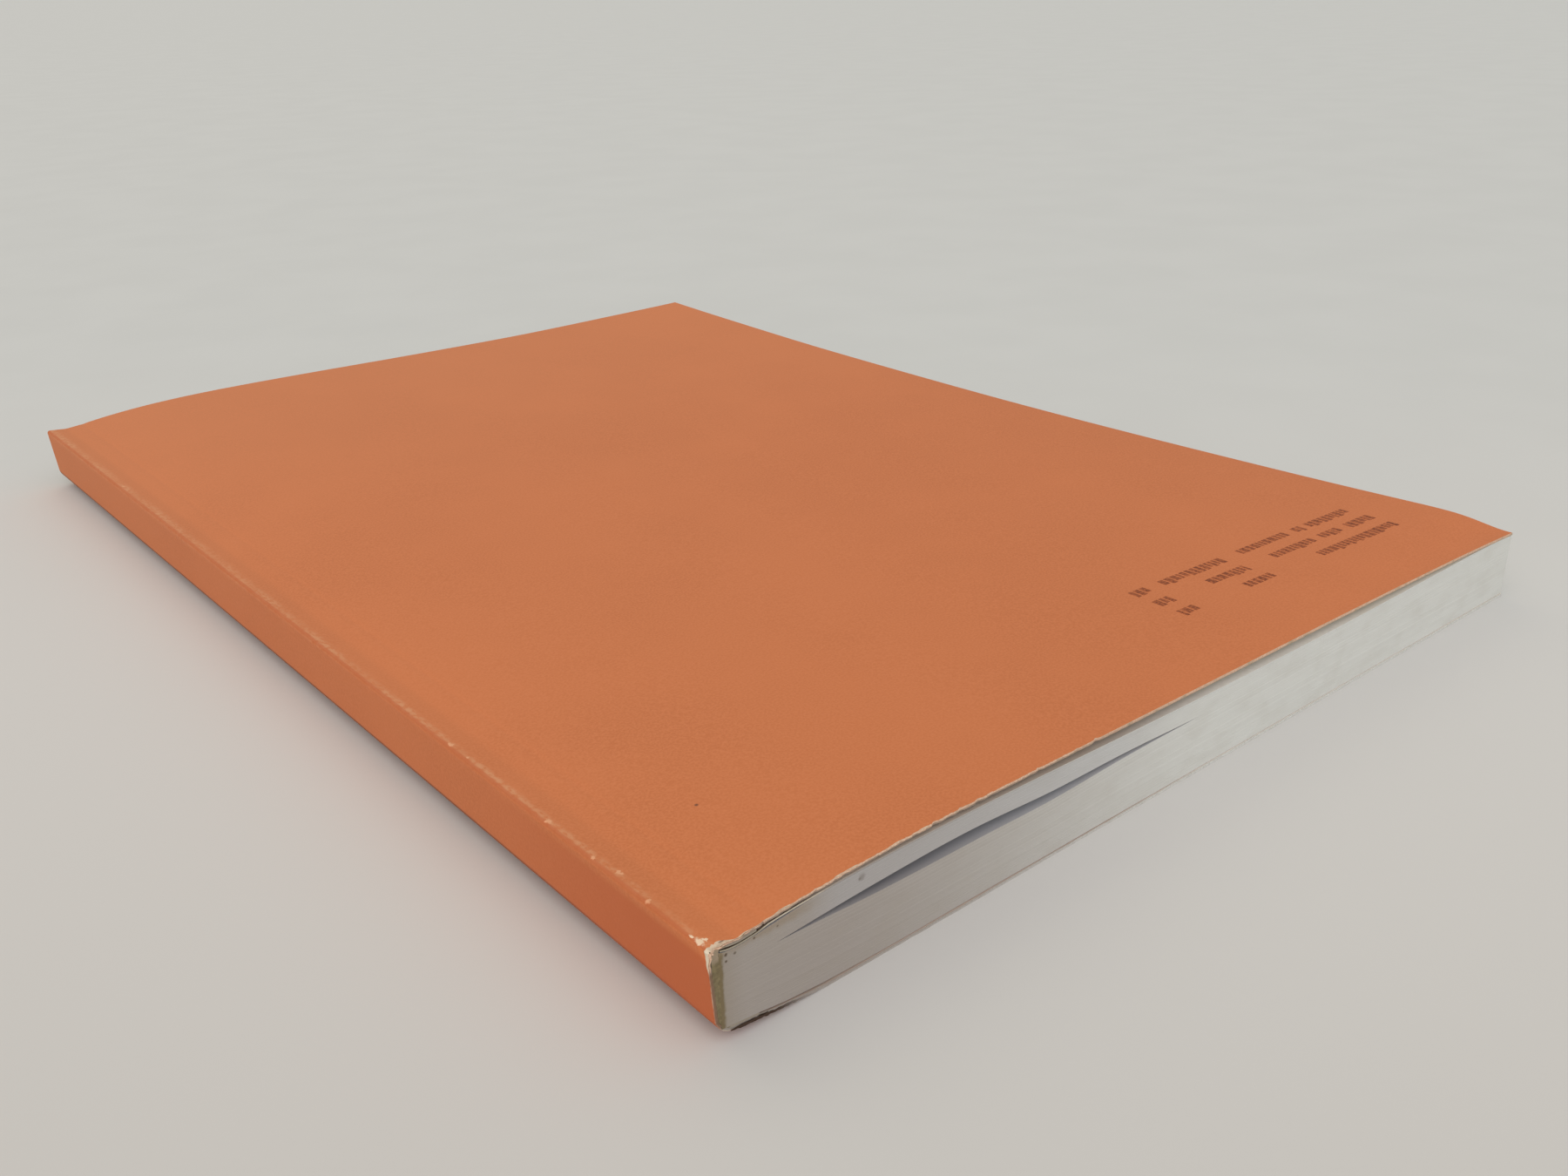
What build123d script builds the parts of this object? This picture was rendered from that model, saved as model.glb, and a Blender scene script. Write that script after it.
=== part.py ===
from build123d import *
from math import exp, pi, sin
import os

# Perfect-bound paperback, closed, lying on its front cover.
# X runs from the spine to the fore edge, Y from the head to the tail, Z up from the table.
# The origin is under the middle of the book. All sizes are millimetres.

# Trimmed size, the leaves, and the card of the cover
book_width = 148.0
book_length = 210.0
leaf_count = 86
leaf = 0.1
card = 0.35

# Binding: glue behind the spine, glue bands under the hinge strips, pressed creases
spine_glue = 1.0
side_glue = 0.2
hinge_strip = 6.5
glue_band = 5.6
score_width = 0.9
score_depth = 0.12

# Spine end, seen from the head: the strips are pressed down beside the spine's corner,
# and the lower one slopes from the lifted spine down to the table
dip_from_spine = 3.4
corner_above_dip = 0.35
crease_above_dip = 0.3
spine_lift = 1.4
lift_reach = 13.5
top_corner_radius = 0.9
low_corner_radius = 2.2
smallest_radius = 0.1
dip_radius = 5.0
landing_radius = 30.0

# Warp of the upper cover, as rises above its crease
hump_reach = 28.0
hump_rise_head = 1.0
hump_rise_tail = 1.6
hump_sag = 0.3
fore_rise_head = 0.1
fore_rise_tail = 1.3
fore_sag = 2.0
fore_power = 3.5
corner_droop = 1.2
corner_droop_reach = 6.0
corner_droop_power = 6

# Air between the upper cover and the leaves
rest_gap = 0.08
head_parting = 1.15
head_parting_start = 10.0
head_parting_end = 142.0
head_parting_skew = 1.3
tail_parting = 1.2
tail_parting_reach = 15.0

# Air between the leaves and the lower cover, and where the leaves come down on it
low_gap = 0.05
leaf_landing = 20.0

# Parting between two bunches of leaves, open at the head.
# Its points are distances from the spine and depths below the crease.
slit_start = (9.3, 2.95)
slit_roof = [(20.0, 2.37), (32.0, 2.13), (46.0, 2.75), (58.0, 2.9)]
slit_end = (71.5, 3.4)
slit_floor = [(58.0, 3.45), (46.0, 3.85), (34.0, 3.67), (20.0, 3.5)]
slit_tip = (40.0, 3.05)
slit_length = 70.0

# Points of the warped surfaces, across and along the book
across_points = 24
along_points = 24

spine_x = -book_width / 2
fore_x = book_width / 2
head_y = -book_length / 2
tail_y = book_length / 2
crease_x = spine_x + hinge_strip
panel_width = book_width - hinge_strip
strip_slope = spine_lift / lift_reach
dip_low = spine_lift - strip_slope * dip_from_spine
crease_low = spine_lift - strip_slope * hinge_strip
dip_top = dip_low + leaf_count * leaf + 2 * side_glue + 2 * card
crease_top = dip_top + crease_above_dip
spine_top = dip_top + corner_above_dip
above_all = 2 * crease_top


def bow(at_head, at_tail, sag, along):
    """A value that runs from head to tail as a parabola, and hangs `sag` below the straight line."""
    return at_head * (1 - along) + at_tail * along - 4 * sag * along * (1 - along)


def share_across(x):
    """0 at the crease and 1 at the fore edge."""
    return max(0.0, (x - crease_x) / panel_width)


def share_along(y):
    """0 at the head and 1 at the tail."""
    return (y - head_y) / book_length


def cover_top(x, y):
    """Height of the upper cover's outer face: a hump near the spine, a lifted or sagging fore edge,
    and a soft corner that droops at the head."""
    across = share_across(x)
    along = share_along(y)
    steps = across * panel_width / hump_reach
    hump = bow(hump_rise_head, hump_rise_tail, hump_sag, along) * steps * exp(1 - steps)
    fore = bow(fore_rise_head, fore_rise_tail, fore_sag, along) * across**fore_power
    from_head = (y - head_y) / corner_droop_reach
    droop = corner_droop * across**corner_droop_power * exp(-from_head * abs(from_head))
    return crease_top + hump + fore - droop


def block_top(x, y):
    """Height of the top leaf: under the cover by the side glue at the crease, and by open air beyond it."""
    across = share_across(x)
    along = share_along(y)
    seat = side_glue * (1 - across) + rest_gap * across
    parting_from = (x - spine_x - head_parting_start) / (head_parting_end - head_parting_start)
    parting_share = min(max(parting_from, 0.0), 1.0) ** head_parting_skew
    at_head = head_parting * sin(pi * parting_share) * (1 - along) ** 2
    at_tail = tail_parting * (1 - exp(-across * panel_width / tail_parting_reach)) * along**3
    return cover_top(x, y) - card - seat - at_head - at_tail


def surface(height):
    """A smooth face over the panel's outline, at the height that the function gives."""
    rows = []
    for j in range(along_points + 1):
        y = head_y + book_length * j / along_points
        xs = [crease_x + panel_width * i / across_points for i in range(across_points + 1)]
        rows.append([(x, y, height(x, y)) for x in xs])
    return Face.make_surface_from_array_of_points(rows, tol=0.002, min_deg=3, max_deg=5)


def filled(points, radii):
    """A closed section in X and Z, with a rounding for each of its corners."""
    return Plane.XZ * make_face(FilletPolyline(*points, radius=radii, close=True))


def along_book(section):
    """Carries a section drawn in X and Z from the head to the tail."""
    return extrude(section, book_length / 2, both=True)


def make_score(height, side):
    """The pressed line of a crease: a shallow groove, cut from the side given as 1 (above) or -1 (below)."""
    half = score_width / 2
    mouth = height + side * score_depth
    points = [(crease_x - 2 * half, mouth), (crease_x, height - side * score_depth), (crease_x + 2 * half, mouth)]
    return along_book(Plane.XZ * make_face(Polyline(*points, close=True)))


def spine_outline(inset_spine, inset_side):
    """The closed spine end between the creases, moved in from the card's outer face."""
    back = spine_x + inset_spine
    points = [
        (crease_x, crease_top - inset_side),
        (spine_x + dip_from_spine, dip_top - inset_side),
        (back, spine_top - inset_side),
        (back, spine_lift - strip_slope * inset_spine + inset_side),
        (crease_x, crease_low + inset_side),
    ]
    inset = max(inset_spine, inset_side)
    top_radius = max(top_corner_radius - inset, smallest_radius)
    low_radius = max(low_corner_radius - inset, smallest_radius)
    radii = [0, dip_radius, top_radius, low_radius, 0]
    return filled(points, radii)


def make_spine():
    """The card round the back of the book, with a glued strip on each face up to the crease."""
    channel = along_book(spine_outline(0, 0) - spine_outline(card, card))
    return channel - make_score(crease_top, 1) - make_score(crease_low, -1)


def make_spine_glue():
    """Hot-melt glue: thick behind the spine, and a thin band under each hinge strip."""
    outside = spine_outline(card, card)
    inside = spine_outline(card + spine_glue, card + side_glue)
    reach = Plane.XZ * Pos(spine_x + glue_band / 2, 0) * Rectangle(glue_band, 2 * above_all)
    return along_book((outside - inside) & reach)


def make_back_cover():
    """The upper card panel: its warped outer face, carried down by the card's thickness."""
    return extrude(surface(cover_top), card, dir=(0, 0, -1)) - make_score(crease_top, 1)


def make_front_cover():
    """The lower card panel: flat on the table, and rising to the crease along the spine side."""
    landing_x = spine_x + lift_reach
    points = [
        (crease_x, crease_low),
        (landing_x, 0),
        (fore_x, 0),
        (fore_x, card),
        (landing_x, card),
        (crease_x, crease_low + card),
    ]
    radii = [0, landing_radius, 0, 0, landing_radius, 0]
    return along_book(filled(points, radii)) - make_score(crease_low, -1)


def make_slit():
    """The wedge of air between two bunches of leaves, widest at the head and closing inside."""
    roof = [slit_start, *slit_roof, slit_end]
    floor = [slit_end, *slit_floor, slit_start]
    edges = [Spline(*[(spine_x + x, crease_top - depth) for x, depth in edge]) for edge in (roof, floor)]
    mouth = Plane.XZ.offset(-head_y) * make_face(edges)
    tip = Vertex(spine_x + slit_tip[0], head_y + slit_length, crease_top - slit_tip[1])
    return loft([mouth.face(), tip])


def make_page_block():
    """All the leaves: a spine end that fits inside the glue, and a body under the warped top leaf."""
    spine_end = along_book(spine_outline(card + spine_glue, card + side_glue))
    low_x = spine_x + leaf_landing
    base = card + low_gap
    points = [
        (crease_x, crease_low + card + side_glue),
        (low_x, base),
        (fore_x, base),
        (fore_x, above_all),
        (crease_x, above_all),
    ]
    body = along_book(filled(points, [0, landing_radius, 0, 0, 0]))
    under_top_leaf = extrude(surface(block_top), above_all, dir=(0, 0, -1))
    return spine_end + (body & under_top_leaf) - make_slit()


parts = {
    "page_block": make_page_block(),
    "spine_glue": make_spine_glue(),
    "spine": make_spine(),
    "back_cover": make_back_cover(),
    "front_cover": make_front_cover(),
}

os.makedirs("parts", exist_ok=True)
for name, solid in parts.items():
    export_step(solid, f"parts/{name}.step")
    box = solid.bounding_box()
    print(name, "volume", round(solid.volume), "mm3, height", round(box.min.Z, 2), "to", round(box.max.Z, 2))
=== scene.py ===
# %% [markdown]
# # A paperback in an orange card cover
# The real object is a perfect-bound paperback: a block of leaves, glued along the spine into one folded
# cover of matt orange card. It lies closed on its front cover, seen from its head and its spine.
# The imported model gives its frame: where each piece is, and which body carries it.

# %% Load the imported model
import bpy
import numpy as np
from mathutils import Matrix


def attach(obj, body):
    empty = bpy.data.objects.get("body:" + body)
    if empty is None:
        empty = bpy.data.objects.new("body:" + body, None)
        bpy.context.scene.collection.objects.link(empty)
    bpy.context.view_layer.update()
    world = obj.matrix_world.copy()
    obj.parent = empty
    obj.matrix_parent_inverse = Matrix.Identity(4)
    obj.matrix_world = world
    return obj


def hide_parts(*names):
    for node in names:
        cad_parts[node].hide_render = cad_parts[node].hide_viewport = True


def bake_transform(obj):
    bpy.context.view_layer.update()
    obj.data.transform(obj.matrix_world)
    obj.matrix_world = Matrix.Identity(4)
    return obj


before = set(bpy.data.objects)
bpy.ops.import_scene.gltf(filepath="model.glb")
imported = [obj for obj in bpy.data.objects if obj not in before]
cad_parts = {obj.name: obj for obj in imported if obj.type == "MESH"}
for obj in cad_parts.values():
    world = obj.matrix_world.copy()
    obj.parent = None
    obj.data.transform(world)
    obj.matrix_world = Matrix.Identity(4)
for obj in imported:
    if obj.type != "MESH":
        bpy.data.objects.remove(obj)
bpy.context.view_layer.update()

# %% [markdown]
# ## Sizes
# The book is measured in millimetres, as a printer would. X runs from the spine to the fore edge, Y from
# the head to the tail, and Z up from the table. The values are those of the solids, so that each dressed
# piece stays where its solid is. Three small things are finer here: the spine's upper corner is sharper,
# its back leans, and the slit between two bunches of leaves starts nearer to the spine.

# %% Trimmed size, leaves and binding
mm = 0.001
book_width = 148.0
book_length = 210.0
leaf_count = 86
leaf = 0.1
card = 0.35
spine_glue = 1.0
side_glue = 0.2
hinge_strip = 6.5
glue_band = 5.6

spine_x = -book_width / 2
fore_x = book_width / 2
head_y = -book_length / 2
tail_y = book_length / 2
crease_x = spine_x + hinge_strip
panel_width = book_width - hinge_strip

# %% The spine end, where the lower hinge strip slopes down to the table
dip_from_spine = 3.4
corner_above_dip = 0.35
crease_above_dip = 0.3
spine_lift = 1.4
lift_reach = 13.5
strip_slope = spine_lift / lift_reach
dip_low = spine_lift - strip_slope * dip_from_spine
crease_low = spine_lift - strip_slope * hinge_strip
dip_top = dip_low + leaf_count * leaf + 2 * side_glue + 2 * card
crease_top = dip_top + crease_above_dip
spine_top = dip_top + corner_above_dip
print("crease of the upper cover, mm above the table:", round(crease_top, 2))


# %% [markdown]
# ## The warp of the upper cover
# Card that was once damp never lies flat again. This cover rises to a hump beside the spine, sinks in the
# middle of its fore edge, and droops at one corner. It could be sculpted by hand. A formula is better
# here, because the cover, its print, its frayed edge and the leaves under it all have to share one surface.

# %% Rises above the crease
hump_reach = 28.0
hump_rise_head = 1.0
hump_rise_tail = 1.6
hump_sag = 0.3
fore_rise_head = 0.1
fore_rise_tail = 1.3
fore_sag = 2.0
fore_power = 3.5
corner_droop = 1.2
corner_droop_reach = 6.0
corner_droop_power = 6


# %% Heights of the warped cover
def bow(at_head, at_tail, sag, along):
    """A parabola from the value at the head to that at the tail, hanging `sag` under a straight line."""
    return at_head * (1 - along) + at_tail * along - 4 * sag * along * (1 - along)


def cover_top(x, y):
    """Crease height, plus a hump s exp(1 - s) near the spine, plus a power of the share across for the
    fore edge, less a droop that dies away from the head as exp(-d|d|)."""
    across = np.maximum((x - crease_x) / panel_width, 0)
    along = (y - head_y) / book_length
    steps = across * panel_width / hump_reach
    hump = bow(hump_rise_head, hump_rise_tail, hump_sag, along) * steps * np.exp(1 - steps)
    fore = bow(fore_rise_head, fore_rise_tail, fore_sag, along) * across**fore_power
    from_head = (y - head_y) / corner_droop_reach
    droop = corner_droop * across**corner_droop_power * np.exp(-from_head * np.abs(from_head))
    return crease_top + hump + fore - droop


# %% Height of the pressed hinge strip
strip_rise = 0.1
valley_reach = 0.5


def strip_top(x):
    """A shallow valley: a hyperbola whose arms rise one in ten."""
    from_dip = x - (spine_x + dip_from_spine)
    return dip_top + strip_rise * (np.sqrt(from_dip**2 + valley_reach**2) - valley_reach)


# %% Heights of the top leaf
rest_gap = 0.08
head_parting = 1.15
head_parting_start = 10.0
head_parting_end = 142.0
head_parting_skew = 1.3
tail_parting = 1.2
tail_parting_reach = 15.0


def block_top(x, y):
    """Under the cover by card and glue, less a lens of air at the head, sin(pi p) (1 - a)^2, and one at the
    tail, (1 - exp(-d)) a^3, where a is the share along the book."""
    across = np.maximum((x - crease_x) / panel_width, 0)
    along = (y - head_y) / book_length
    seat = side_glue * (1 - across) + rest_gap * across
    parting = np.clip((x - spine_x - head_parting_start) / (head_parting_end - head_parting_start), 0, 1)
    at_head = head_parting * np.sin(np.pi * parting**head_parting_skew) * (1 - along) ** 2
    at_tail = tail_parting * (1 - np.exp(-across * panel_width / tail_parting_reach)) * along**3
    over_leaves = np.where(x < crease_x, strip_top(x), cover_top(x, y))
    return over_leaves - card - seat - at_head - at_tail


# %% Soft random heights, and how a shape dies away
def ripples(u, v, size, seed, waves=24):
    """Random heights about 0, mostly between -1 and 1: a sum of sine waves in random directions, each 0.6
    to 1.7 times `size` long, divided by the root of their number."""
    chance = np.random.default_rng(seed)
    heading = chance.uniform(0, 2 * np.pi, waves)
    turns = 2 * np.pi / (size * chance.uniform(0.6, 1.7, waves))
    start = chance.uniform(0, 2 * np.pi, waves)
    u = np.asarray(u, float)[..., None]
    v = np.asarray(v, float)[..., None]
    return np.sin(turns * (u * np.cos(heading) + v * np.sin(heading)) + start).sum(-1) / np.sqrt(waves)


def bell(distance, reach):
    """A smooth bump: exp(-(distance / reach)^2)."""
    return np.exp(-((distance / reach) ** 2))


def near_head(y, reach):
    """1 at the head, dying away as exp(-distance / reach)."""
    return np.exp(-(y - head_y) / reach)


# %% The outer face of the upper cover
crease_depth = 0.04
crease_reach = 0.5
wave_height = 0.03
wave_length = 45


def pressed(x):
    """Depth of a pressed crease: a bell across the line."""
    return crease_depth * bell(x - crease_x, crease_reach)


def outer_face(x, y):
    """The upper cover as it is seen: the warped height, with long soft waves that grow over 10 mm from the
    crease, less the pressed line."""
    waves = wave_height * ripples(x, y, wave_length, seed=3)
    return cover_top(x, y) + waves * np.clip((x - crease_x) / 10, 0, 1) - pressed(x)


# %% [markdown]
# ## From grids to meshes
# Each piece is a surface over two parameters. A sheet of card is two grids, its outer and its inner face,
# closed by a wall round the border, whose middle rows stand out a little, as cut card does. A bunch of
# leaves is the skin of a box, bent into shape. Every point keeps its place at rest in an attribute, so
# that a pattern stays on the card when the cover turns.

# %% Put a piece into the scene
def make_piece(name, points, faces, finishes, body=None, slots=None, marks=None):
    """Makes a mesh of points in millimetres and faces, with a finish for each face and the places at rest.
    A piece that bends between two bodies gets no body here."""
    mesh = bpy.data.meshes.new(name)
    mesh.from_pydata(points * mm, [], faces)
    for finish in finishes:
        mesh.materials.append(finish)
    if slots is not None:
        mesh.polygons.foreach_set("material_index", np.asarray(slots, np.int32))
    rest = mesh.attributes.new("at_rest", "FLOAT_VECTOR", "POINT")
    rest.data.foreach_set("vector", np.asarray(points, np.float32).ravel())
    for mark, values in (marks or {}).items():
        layer = mesh.attributes.new(mark, "FLOAT", "POINT")
        layer.data.foreach_set("value", np.asarray(values, np.float32))
    mesh.polygons.foreach_set("use_smooth", np.ones(len(mesh.polygons), bool))
    mesh.set_sharp_from_angle(angle=np.radians(50))
    piece = bpy.data.objects.new(name, mesh)
    bpy.context.collection.objects.link(piece)
    if body:
        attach(piece, body)
    triangles = sum(len(face) - 2 for face in faces)
    print(name, "has", triangles, "triangles")
    return piece


# %% A sheet between two grids
card_rows = 3


def numbered(grid):
    """The numbers of a grid's points, and of those on its border, once round."""
    rows, columns = grid.shape[:2]
    number = np.arange(rows * columns).reshape(rows, columns)
    border = np.concatenate([number[0, :-1], number[:-1, -1], number[-1, :0:-1], number[:0:-1, 0]])
    return number, border


def sheet(outer, inner, stand_out=0.0, wall_rows=card_rows):
    """Points, quads and sides of a closed sheet. Sides are 0 on the outer face, 1 on the inner and 2 on the
    wall, whose rows stand out by `stand_out` times 4 t (1 - t)."""
    number, border = numbered(outer)
    skin = np.stack([number[:-1, :-1], number[:-1, 1:], number[1:, 1:], number[1:, :-1]], -1).reshape(-1, 4)
    top = outer.reshape(-1, 3)
    low = inner.reshape(-1, 3)
    through = top[border] - low[border]
    heading = np.roll(top[border], -1, 0) - np.roll(top[border], 1, 0)
    away = np.cross(heading, through)
    away = away / np.linalg.norm(away, axis=1)[:, None]
    share = np.arange(1, wall_rows + 1)[:, None, None] / (wall_rows + 1)
    middle = top[border] - share * through + 4 * share * (1 - share) * stand_out * away
    points = np.concatenate([top, low, middle.reshape(-1, 3)])
    first = 2 * len(top) + np.arange(wall_rows)[:, None] * len(border) + np.arange(len(border))
    rings = np.concatenate([border[None], first, border[None] + len(top)])
    turned = np.roll(rings, -1, 1)
    wall = np.stack([turned[:-1], rings[:-1], rings[1:], turned[1:]], -1).reshape(-1, 4)
    quads = np.concatenate([skin, skin[:, ::-1] + len(top), wall])
    sides = np.repeat([0, 1, 2], [len(skin), len(skin), len(wall)])
    across, along = outer[0, 1] - outer[0, 0], outer[1, 0] - outer[0, 0]
    if np.cross(across, along) @ (outer - inner)[0, 0] < 0:
        quads = quads[:, ::-1]
    return points, quads, sides


# %% Marks on the points of a sheet
def carried(values, outer):
    """The value of each grid point, given to both faces and to the wall of a sheet."""
    number, border = numbered(outer)
    flat = np.broadcast_to(values, number.shape).ravel()
    return np.concatenate([flat, flat, np.tile(flat[border], card_rows)])


def depth_in_card(outer):
    """0 on the outer face of a sheet, 1 on the inner face, and the share between them on the wall."""
    number, border = numbered(outer)
    share = np.arange(1, card_rows + 1) / (card_rows + 1)
    return np.concatenate([np.repeat([0.0, 1.0], number.size), np.repeat(share, len(border))])


# %% The skin of a box
def box_skin(cells):
    """Places (i, j, k) on the skin of a box of cells[0] x cells[1] x cells[2] cells, and quads that face
    outwards."""
    stride = np.array([1, cells[0] + 1, (cells[0] + 1) * (cells[1] + 1)])
    walls = []
    for axis in range(3):
        b, c = (axis + 1) % 3, (axis + 2) % 3
        p, q = np.meshgrid(np.arange(cells[b] + 1), np.arange(cells[c] + 1), indexing="ij")
        flat = p * stride[b] + q * stride[c]
        face = np.stack([flat[:-1, :-1], flat[1:, :-1], flat[1:, 1:], flat[:-1, 1:]], -1).reshape(-1, 4)
        walls.append(face[:, ::-1])
        walls.append(face + cells[axis] * stride[axis])
    used, quads = np.unique(np.concatenate(walls), return_inverse=True)
    places = np.stack([used % stride[1], used // stride[1] % (cells[1] + 1), used // stride[2]], -1)
    return places, quads.reshape(-1, 4)


# %% A smooth line through a few points
def smooth_line(at, places, heights):
    """Cubic stretches between points, each leaving a point with the slope between its two neighbours."""
    places = np.asarray(places, float)
    heights = np.asarray(heights, float)
    slopes = np.gradient(heights, places)
    n = np.clip(np.searchsorted(places, at) - 1, 0, len(places) - 2)
    width = places[n + 1] - places[n]
    t = np.clip((at - places[n]) / width, 0, 1)
    lower = heights[n] * (1 + 2 * t) + width * slopes[n] * t
    upper = heights[n + 1] * (3 - 2 * t) - width * slopes[n + 1] * (1 - t)
    return lower * (1 - t) ** 2 + upper * t**2


# %% A rounded path in X and Z
def length_along(line):
    """The distance of each point from the start of a line, added up from point to point."""
    return np.concatenate([[0], np.cumsum(np.linalg.norm(np.diff(line, axis=0), axis=1))])


def rounded_path(corners, radii, pitch, arc_steps=12):
    """Points, outward normals and distances along straight runs joined by arcs. On an arc the heading turns
    evenly, and the point moves by the radius times the change of the heading's sine and cosine."""
    corners = np.asarray(corners, float)
    runs = np.diff(corners, axis=0)
    headings = np.arctan2(runs[:, 1], runs[:, 0])
    turns = (np.diff(headings) + np.pi) % (2 * np.pi) - np.pi
    spared = np.abs(np.asarray(radii) * np.tan(turns / 2))
    points, angles = [], []
    for n, run in enumerate(runs):
        unit = run / np.linalg.norm(run)
        start = corners[n] + unit * (spared[n - 1] if n else 0)
        end = corners[n + 1] - unit * (spared[n] if n < len(turns) else 0)
        count = max(2, int(np.linalg.norm(end - start) / pitch[n]))
        straight = np.linspace(start, end, count, endpoint=n == len(runs) - 1)
        points.append(straight)
        angles.append(np.full(len(straight), headings[n]))
        if n < len(turns):
            bent = headings[n] + turns[n] * np.linspace(0, 1, arc_steps, endpoint=False)
            bend = radii[n] * np.sign(turns[n])
            arc = np.stack([np.sin(bent) - np.sin(headings[n]), np.cos(headings[n]) - np.cos(bent)], -1)
            points.append(end + bend * arc)
            angles.append(bent)
    points = np.concatenate(points)
    angles = np.concatenate(angles)
    normals = np.stack([np.sin(angles), -np.cos(angles)], -1)
    return points, normals, length_along(points)


def carried_along(line, rows):
    """A grid of points: a line in X and Z, repeated at each place along the book."""
    grid = np.zeros((len(rows), len(line), 3))
    grid[..., 0] = line[:, 0]
    grid[..., 1] = rows[:, None]
    grid[..., 2] = line[:, 1]
    return grid


# %% [markdown]
# ## Finishes
# Each finish is a small tree of nodes on one Principled shader. The patterns read the place at rest, in
# millimetres, so a grain of 0.3 really is 0.3 mm. The helpers below each add one step of such a tree. Where
# a step starts from another node, it finds its tree by that node.

# %% Start and end of a finish
def tone(red, green, blue):
    """A colour as a screen shows it, 0 to 255, turned into light."""
    share = (np.array([red, green, blue]) / 255 + 0.055) / 1.055
    return (*(share**2.4).tolist(), 1.0)


def new_finish(name, roughness, specular):
    """An empty finish and its tree, with a plain roughness and specular level on its shader."""
    finish = bpy.data.materials.new(name)
    finish.use_nodes = True
    shader = finish.node_tree.nodes["Principled BSDF"]
    shader.inputs["Roughness"].default_value = roughness
    shader.inputs["Specular IOR Level"].default_value = specular
    return finish, finish.node_tree


def put(tree, kind, inputs, **settings):
    """Adds a node, and gives each of its inputs a value or the output of another node."""
    made = tree.nodes.new(kind)
    for setting, value in settings.items():
        setattr(made, setting, value)
    for socket, value in inputs.items():
        if isinstance(value, bpy.types.NodeSocket):
            tree.links.new(value, made.inputs[socket])
        else:
            made.inputs[socket].default_value = value
    return made


def dress(finish, colour, grain=None, depth=0.0):
    """Gives a finish its colour, and bump of `depth` millimetres where a grain of 0 to 1 is given."""
    tree = finish.node_tree
    shader = tree.nodes["Principled BSDF"]
    tree.links.new(colour, shader.inputs["Base Color"])
    if grain is not None:
        bump = put(tree, "ShaderNodeBump", {"Height": grain, "Strength": 1.0, "Distance": depth * mm})
        tree.links.new(bump.outputs[0], shader.inputs["Normal"])
    print("finish", finish.name, "has", len(tree.nodes), "nodes")


# %% Arithmetic and mixing
def sum_up(how, first, second=0.0):
    """One step of arithmetic on a node's number and another number, in that node's tree."""
    return put(first.id_data, "ShaderNodeMath", {0: first, 1: second}, operation=how).outputs[0]


def vector_sum(how, first, second=(0, 0, 0), result="Vector"):
    """One step of arithmetic on two vectors. The result is a vector, or a number if it is "Value"."""
    return put(first.id_data, "ShaderNodeVectorMath", {0: first, 1: second}, operation=how).outputs[result]


def times(first, second):
    """The product of two numbers."""
    return sum_up("MULTIPLY", first, second)


def off_by(value, middle):
    """How far a value is from a middle one, on either side."""
    return sum_up("ABSOLUTE", sum_up("SUBTRACT", value, middle))


def step(value, low, high, start=0.0, end=1.0):
    """Goes smoothly from start to end as the value goes from low to high."""
    limits = {"Value": value, "From Min": low, "From Max": high, "To Min": start, "To Max": end}
    return put(value.id_data, "ShaderNodeMapRange", limits, interpolation_type="SMOOTHSTEP").outputs[0]


def mix(share, first, second):
    """Mixes two colours by a share."""
    colours = {0: share, 6: first, 7: second}
    return put(share.id_data, "ShaderNodeMix", colours, data_type="RGBA").outputs[2]


# %% Where a point of the finish is
def mark_of(tree, name):
    """A number that the mesh keeps at each point."""
    return put(tree, "ShaderNodeAttribute", {}, attribute_name=name).outputs["Fac"]


def place(tree, stretch=(1, 1, 1)):
    """The place at rest in millimetres, divided by a stretch along each axis."""
    at = put(tree, "ShaderNodeAttribute", {}, attribute_name="at_rest").outputs["Vector"]
    return vector_sum("DIVIDE", at, stretch)


def axis_of(tree, axis):
    """One coordinate of the place at rest, in millimetres."""
    return put(tree, "ShaderNodeSeparateXYZ", {0: place(tree)}).outputs[axis]


def across_book(tree, near, far, start=0.0, end=1.0):
    """Goes smoothly from start to end between two distances from the spine."""
    return step(axis_of(tree, 0), spine_x + near, spine_x + far, start, end)


def along_book(tree, near, far, start=0.0, end=1.0):
    """Goes smoothly from start to end between two distances from the head."""
    return step(axis_of(tree, 1), head_y + near, head_y + far, start, end)


def above_table(tree, low, high, start=0.0, end=1.0):
    """Goes smoothly from start to end between two heights."""
    return step(axis_of(tree, 2), low, high, start, end)


def away_from(tree, spot, stretch=(1, 1, 1)):
    """The distance from a spot, with both places divided by a stretch along each axis."""
    centre = np.divide(spot, stretch).tolist()
    return vector_sum("DISTANCE", place(tree, stretch), centre, "Value")


def cloud(tree, size, detail=2.0, stretch=(1, 1, 1), vector=None):
    """Soft noise about 0.5, with patches `size` millimetres across, longer where it is stretched."""
    at = vector or place(tree, stretch)
    return put(tree, "ShaderNodeTexNoise", {"Vector": at, "Scale": 1 / size, "Detail": detail}).outputs[0]


# %% [markdown]
# ### Orange card
# The cover is uncoated card, printed orange all over: matt, with a fine tooth and faint clouds where it was
# handled. Wear shows the pale card under the ink: a grainy lighter line along the spine's upper corner,
# wider towards the tail, a few pale specks on it, and small chips along the cut head edge. A painted image
# could carry all this, but noise that is cut off at a level gives the same broken edge at any distance.
# Each point of the spine keeps its distance from that corner, above 0 on the face, below 0 down the back.

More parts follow.
